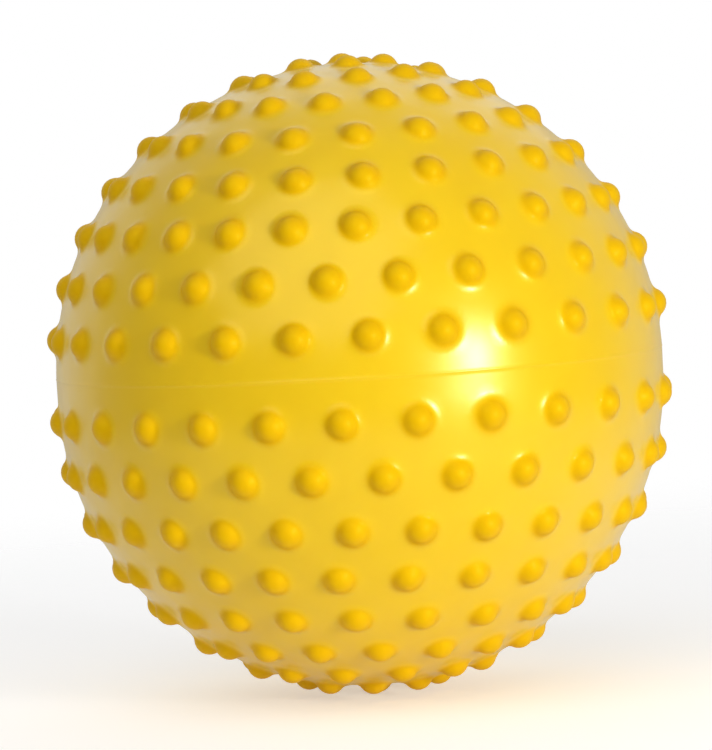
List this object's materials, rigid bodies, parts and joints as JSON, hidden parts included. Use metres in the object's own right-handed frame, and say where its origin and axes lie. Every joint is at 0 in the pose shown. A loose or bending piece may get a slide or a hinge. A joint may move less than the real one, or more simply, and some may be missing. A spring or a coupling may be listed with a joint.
{
  "type": "medicine ball",
  "caption": "Soft PVC exercise ball with rows of rounded knobs, a flush valve plug at the parting line and loose sand inside as its weight.",
  "frame": {"origin": "centre of the ball, halfway between the tips of the two pole knobs", "axes": "+Z through the poles at right angles to the parting line, +Y out through the valve, -Y the side that the picture shows"},
  "size_m": [0.206, 0.2061, 0.212],
  "materials": {
    "soft_pvc": "satin, smooth soft PVC, yellow all through",
    "bush_rubber": "matt",
    "plug_plastic": "semi-matt white plastic",
    "iron_sand": "loose dark sand"
  },
  "bodies": {
    "ball": {"shell": "soft_pvc", "valve_bush": "bush_rubber"},
    "plug": {"valve_plug": "plug_plastic"},
    "filling": {"sand_filling": "iron_sand"}
  },
  "joints": [
    {"name": "plug_pull", "type": "slide", "parent": "ball", "child": "plug", "axis": [0, 1, 0], "range_m": [0, 0.04]},
    {"name": "sand_flow", "type": "hinge", "parent": "ball", "child": "filling", "pos_m": [0, 0, 0], "axis": [0, 1, 0], "continuous": true}
  ]
}
